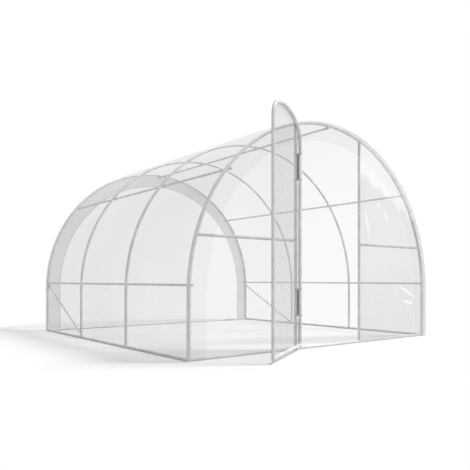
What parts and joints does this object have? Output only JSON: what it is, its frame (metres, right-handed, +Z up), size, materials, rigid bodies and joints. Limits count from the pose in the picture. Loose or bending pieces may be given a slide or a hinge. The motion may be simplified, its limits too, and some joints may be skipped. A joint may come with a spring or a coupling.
{
  "type": "polytunnel greenhouse",
  "caption": "Walk-in film greenhouse on half-round tube hoops with purlins, base rails and a hinged film door at one end.",
  "frame": {"origin": "on the ground at the middle of the hoops' footprint", "axes": "+Z up, +Y along the tunnel away from the door end, +X to the right seen from the door"},
  "size_m": [3.0296, 3.5469, 2.0148],
  "materials": {
    "tube_steel": "galvanised tube",
    "clamp_steel": "zinc plated",
    "hinge_plastic": "dark grey plastic",
    "film": "clear polyethylene film"
  },
  "bodies": {
    "tunnel": {"front_hoop_legs": "tube_steel", "front_hoop_arch": "tube_steel", "second_hoop_legs": "tube_steel", "second_hoop_arch": "tube_steel", "third_hoop_legs": "tube_steel", "third_hoop_arch": "tube_steel", "back_hoop_legs": "tube_steel", "back_hoop_arch": "tube_steel", "left_base_rail": "tube_steel", "right_base_rail": "tube_steel", "front_base_rail": "tube_steel", "door_threshold": "tube_steel", "back_base_rail": "tube_steel", "left_side_rail": "tube_steel", "right_side_rail": "tube_steel", "ridge_purlin": "tube_steel", "left_purlin": "tube_steel", "right_purlin": "tube_steel", "purlin_clamps": "clamp_steel", "side_rail_clamps": "clamp_steel", "side_braces": "tube_steel", "left_door_post": "tube_steel", "right_door_post": "tube_steel", "front_crossbars": "tube_steel", "upper_hinge": "hinge_plastic", "lower_hinge": "hinge_plastic", "cover_left_wall": "film", "cover_left_shoulder": "film", "cover_left_crown": "film", "cover_right_crown": "film", "cover_right_shoulder": "film", "cover_right_wall": "film", "front_left_film": "film", "front_right_film": "film", "front_margin": "film", "back_film": "film", "back_margin": "film"},
    "door": {"door_hinge_stile": "tube_steel", "door_free_stile": "tube_steel", "door_hinge_corner": "tube_steel", "door_free_corner": "tube_steel", "door_head": "tube_steel", "door_bottom_rail": "tube_steel", "door_film": "film"}
  },
  "joints": [
    {"name": "door_swing", "type": "hinge", "parent": "tunnel", "child": "door", "pos_m": [-0.382, -1.54, 0], "axis": [0, 0, -1], "range_deg": [-148, 17]}
  ]
}
